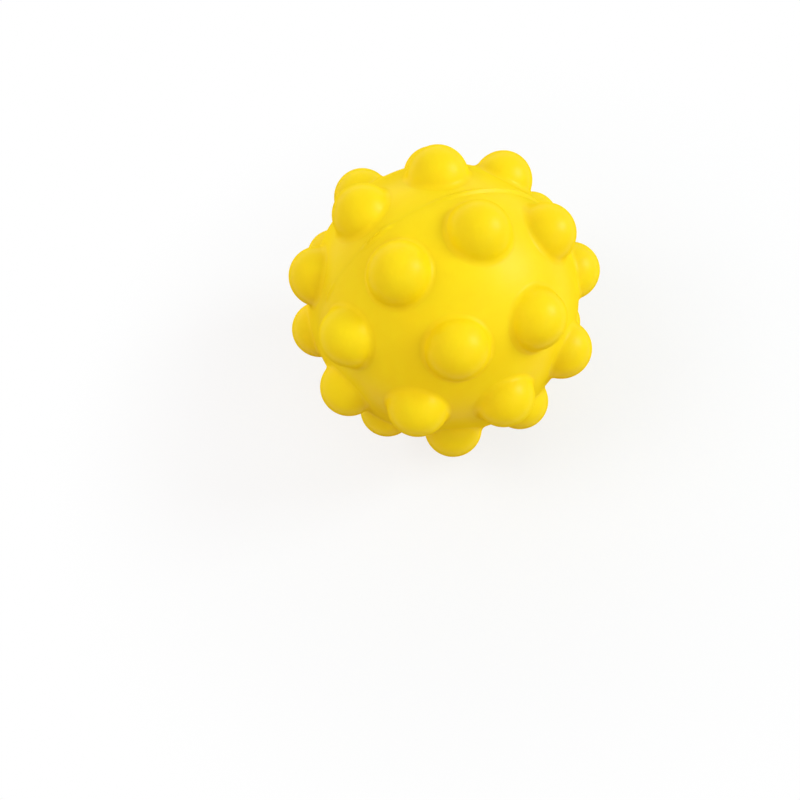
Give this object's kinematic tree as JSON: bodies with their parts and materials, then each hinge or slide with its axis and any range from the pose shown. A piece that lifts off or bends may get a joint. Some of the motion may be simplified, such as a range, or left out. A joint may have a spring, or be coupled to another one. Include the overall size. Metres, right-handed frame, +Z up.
{
  "type": "sensory ball",
  "caption": "Hollow soft rubber ball moulded in bonded halves and covered in rounded domes, each of which pushes in until it turns inside out and pops back out.",
  "frame": {"origin": "on the ground under the middle of the ball, which stands on its four lowest domes", "axes": "+Z up; the seam lies in the XZ plane; Y runs from pole to pole, with the front half on -Y"},
  "size_m": [0.0656, 0.0684, 0.063],
  "materials": {
    "shell_rubber": "satin moulded bright yellow rubber",
    "dome_rubber": "satin moulded bright yellow rubber",
    "seam_bond": "cured bond line, darker yellow"
  },
  "bodies": {
    "shell": {"front_half_shell": "shell_rubber", "back_half_shell": "shell_rubber", "seam_bond": "seam_bond"},
    "front_pole_dome": {"front_pole_dome": "dome_rubber"},
    "front_inner_dome_1": {"front_inner_dome_1": "dome_rubber"},
    "front_inner_dome_2": {"front_inner_dome_2": "dome_rubber"},
    "front_inner_dome_3": {"front_inner_dome_3": "dome_rubber"},
    "front_inner_dome_4": {"front_inner_dome_4": "dome_rubber"},
    "front_inner_dome_5": {"front_inner_dome_5": "dome_rubber"},
    "front_inner_dome_6": {"front_inner_dome_6": "dome_rubber"},
    "front_outer_dome_1": {"front_outer_dome_1": "dome_rubber"},
    "front_outer_dome_2": {"front_outer_dome_2": "dome_rubber"},
    "front_outer_dome_3": {"front_outer_dome_3": "dome_rubber"},
    "front_outer_dome_4": {"front_outer_dome_4": "dome_rubber"},
    "front_outer_dome_5": {"front_outer_dome_5": "dome_rubber"},
    "front_outer_dome_6": {"front_outer_dome_6": "dome_rubber"},
    "front_outer_dome_7": {"front_outer_dome_7": "dome_rubber"},
    "front_outer_dome_8": {"front_outer_dome_8": "dome_rubber"},
    "front_outer_dome_9": {"front_outer_dome_9": "dome_rubber"},
    "front_outer_dome_10": {"front_outer_dome_10": "dome_rubber"},
    "back_pole_dome": {"back_pole_dome": "dome_rubber"},
    "back_inner_dome_1": {"back_inner_dome_1": "dome_rubber"},
    "back_inner_dome_2": {"back_inner_dome_2": "dome_rubber"},
    "back_inner_dome_3": {"back_inner_dome_3": "dome_rubber"},
    "back_inner_dome_4": {"back_inner_dome_4": "dome_rubber"},
    "back_inner_dome_5": {"back_inner_dome_5": "dome_rubber"},
    "back_inner_dome_6": {"back_inner_dome_6": "dome_rubber"},
    "back_outer_dome_1": {"back_outer_dome_1": "dome_rubber"},
    "back_outer_dome_2": {"back_outer_dome_2": "dome_rubber"},
    "back_outer_dome_3": {"back_outer_dome_3": "dome_rubber"},
    "back_outer_dome_4": {"back_outer_dome_4": "dome_rubber"},
    "back_outer_dome_5": {"back_outer_dome_5": "dome_rubber"},
    "back_outer_dome_6": {"back_outer_dome_6": "dome_rubber"},
    "back_outer_dome_7": {"back_outer_dome_7": "dome_rubber"},
    "back_outer_dome_8": {"back_outer_dome_8": "dome_rubber"},
    "back_outer_dome_9": {"back_outer_dome_9": "dome_rubber"},
    "back_outer_dome_10": {"back_outer_dome_10": "dome_rubber"}
  },
  "joints": [
    {"name": "front_pole_dome_pop", "type": "slide", "parent": "shell", "child": "front_pole_dome", "axis": [0, 1, 0], "range_m": [0, 0.0116]},
    {"name": "front_inner_dome_1_pop", "type": "slide", "parent": "shell", "child": "front_inner_dome_1", "axis": [0.1816, 0.809, -0.559], "range_m": [0, 0.0116]},
    {"name": "front_inner_dome_2_pop", "type": "slide", "parent": "shell", "child": "front_inner_dome_2", "axis": [-0.3933, 0.809, -0.4368], "range_m": [0, 0.0116]},
    {"name": "front_inner_dome_3_pop", "type": "slide", "parent": "shell", "child": "front_inner_dome_3", "axis": [-0.5749, 0.809, 0.1222], "range_m": [0, 0.0116]},
    {"name": "front_inner_dome_4_pop", "type": "slide", "parent": "shell", "child": "front_inner_dome_4", "axis": [-0.1816, 0.809, 0.559], "range_m": [0, 0.0116]},
    {"name": "front_inner_dome_5_pop", "type": "slide", "parent": "shell", "child": "front_inner_dome_5", "axis": [0.3933, 0.809, 0.4368], "range_m": [0, 0.0116]},
    {"name": "front_inner_dome_6_pop", "type": "slide", "parent": "shell", "child": "front_inner_dome_6", "axis": [0.5749, 0.809, -0.1222], "range_m": [0, 0.0116]},
    {"name": "front_outer_dome_1_pop", "type": "slide", "parent": "shell", "child": "front_outer_dome_1", "axis": [-0.2939, 0.309, -0.9045], "range_m": [0, 0.0116]},
    {"name": "front_outer_dome_2_pop", "type": "slide", "parent": "shell", "child": "front_outer_dome_2", "axis": [-0.7694, 0.309, -0.559], "range_m": [0, 0.0116]},
    {"name": "front_outer_dome_3_pop", "type": "slide", "parent": "shell", "child": "front_outer_dome_3", "axis": [-0.9511, 0.309, 0], "range_m": [0, 0.0116]},
    {"name": "front_outer_dome_4_pop", "type": "slide", "parent": "shell", "child": "front_outer_dome_4", "axis": [-0.7694, 0.309, 0.559], "range_m": [0, 0.0116]},
    {"name": "front_outer_dome_5_pop", "type": "slide", "parent": "shell", "child": "front_outer_dome_5", "axis": [-0.2939, 0.309, 0.9045], "range_m": [0, 0.0116]},
    {"name": "front_outer_dome_6_pop", "type": "slide", "parent": "shell", "child": "front_outer_dome_6", "axis": [0.2939, 0.309, 0.9045], "range_m": [0, 0.0116]},
    {"name": "front_outer_dome_7_pop", "type": "slide", "parent": "shell", "child": "front_outer_dome_7", "axis": [0.7694, 0.309, 0.559], "range_m": [0, 0.0116]},
    {"name": "front_outer_dome_8_pop", "type": "slide", "parent": "shell", "child": "front_outer_dome_8", "axis": [0.9511, 0.309, 0], "range_m": [0, 0.0116]},
    {"name": "front_outer_dome_9_pop", "type": "slide", "parent": "shell", "child": "front_outer_dome_9", "axis": [0.7694, 0.309, -0.559], "range_m": [0, 0.0116]},
    {"name": "front_outer_dome_10_pop", "type": "slide", "parent": "shell", "child": "front_outer_dome_10", "axis": [0.2939, 0.309, -0.9045], "range_m": [0, 0.0116]},
    {"name": "back_pole_dome_pop", "type": "slide", "parent": "shell", "child": "back_pole_dome", "axis": [0, -1, 0], "range_m": [0, 0.0116]},
    {"name": "back_inner_dome_1_pop", "type": "slide", "parent": "shell", "child": "back_inner_dome_1", "axis": [0.1816, -0.809, -0.559], "range_m": [0, 0.0116]},
    {"name": "back_inner_dome_2_pop", "type": "slide", "parent": "shell", "child": "back_inner_dome_2", "axis": [-0.3933, -0.809, -0.4368], "range_m": [0, 0.0116]},
    {"name": "back_inner_dome_3_pop", "type": "slide", "parent": "shell", "child": "back_inner_dome_3", "axis": [-0.5749, -0.809, 0.1222], "range_m": [0, 0.0116]},
    {"name": "back_inner_dome_4_pop", "type": "slide", "parent": "shell", "child": "back_inner_dome_4", "axis": [-0.1816, -0.809, 0.559], "range_m": [0, 0.0116]},
    {"name": "back_inner_dome_5_pop", "type": "slide", "parent": "shell", "child": "back_inner_dome_5", "axis": [0.3933, -0.809, 0.4368], "range_m": [0, 0.0116]},
    {"name": "back_inner_dome_6_pop", "type": "slide", "parent": "shell", "child": "back_inner_dome_6", "axis": [0.5749, -0.809, -0.1222], "range_m": [0, 0.0116]},
    {"name": "back_outer_dome_1_pop", "type": "slide", "parent": "shell", "child": "back_outer_dome_1", "axis": [-0.2939, -0.309, -0.9045], "range_m": [0, 0.0116]},
    {"name": "back_outer_dome_2_pop", "type": "slide", "parent": "shell", "child": "back_outer_dome_2", "axis": [-0.7694, -0.309, -0.559], "range_m": [0, 0.0116]},
    {"name": "back_outer_dome_3_pop", "type": "slide", "parent": "shell", "child": "back_outer_dome_3", "axis": [-0.9511, -0.309, 0], "range_m": [0, 0.0116]},
    {"name": "back_outer_dome_4_pop", "type": "slide", "parent": "shell", "child": "back_outer_dome_4", "axis": [-0.7694, -0.309, 0.559], "range_m": [0, 0.0116]},
    {"name": "back_outer_dome_5_pop", "type": "slide", "parent": "shell", "child": "back_outer_dome_5", "axis": [-0.2939, -0.309, 0.9045], "range_m": [0, 0.0116]},
    {"name": "back_outer_dome_6_pop", "type": "slide", "parent": "shell", "child": "back_outer_dome_6", "axis": [0.2939, -0.309, 0.9045], "range_m": [0, 0.0116]},
    {"name": "back_outer_dome_7_pop", "type": "slide", "parent": "shell", "child": "back_outer_dome_7", "axis": [0.7694, -0.309, 0.559], "range_m": [0, 0.0116]},
    {"name": "back_outer_dome_8_pop", "type": "slide", "parent": "shell", "child": "back_outer_dome_8", "axis": [0.9511, -0.309, 0], "range_m": [0, 0.0116]},
    {"name": "back_outer_dome_9_pop", "type": "slide", "parent": "shell", "child": "back_outer_dome_9", "axis": [0.7694, -0.309, -0.559], "range_m": [0, 0.0116]},
    {"name": "back_outer_dome_10_pop", "type": "slide", "parent": "shell", "child": "back_outer_dome_10", "axis": [0.2939, -0.309, -0.9045], "range_m": [0, 0.0116]}
  ]
}
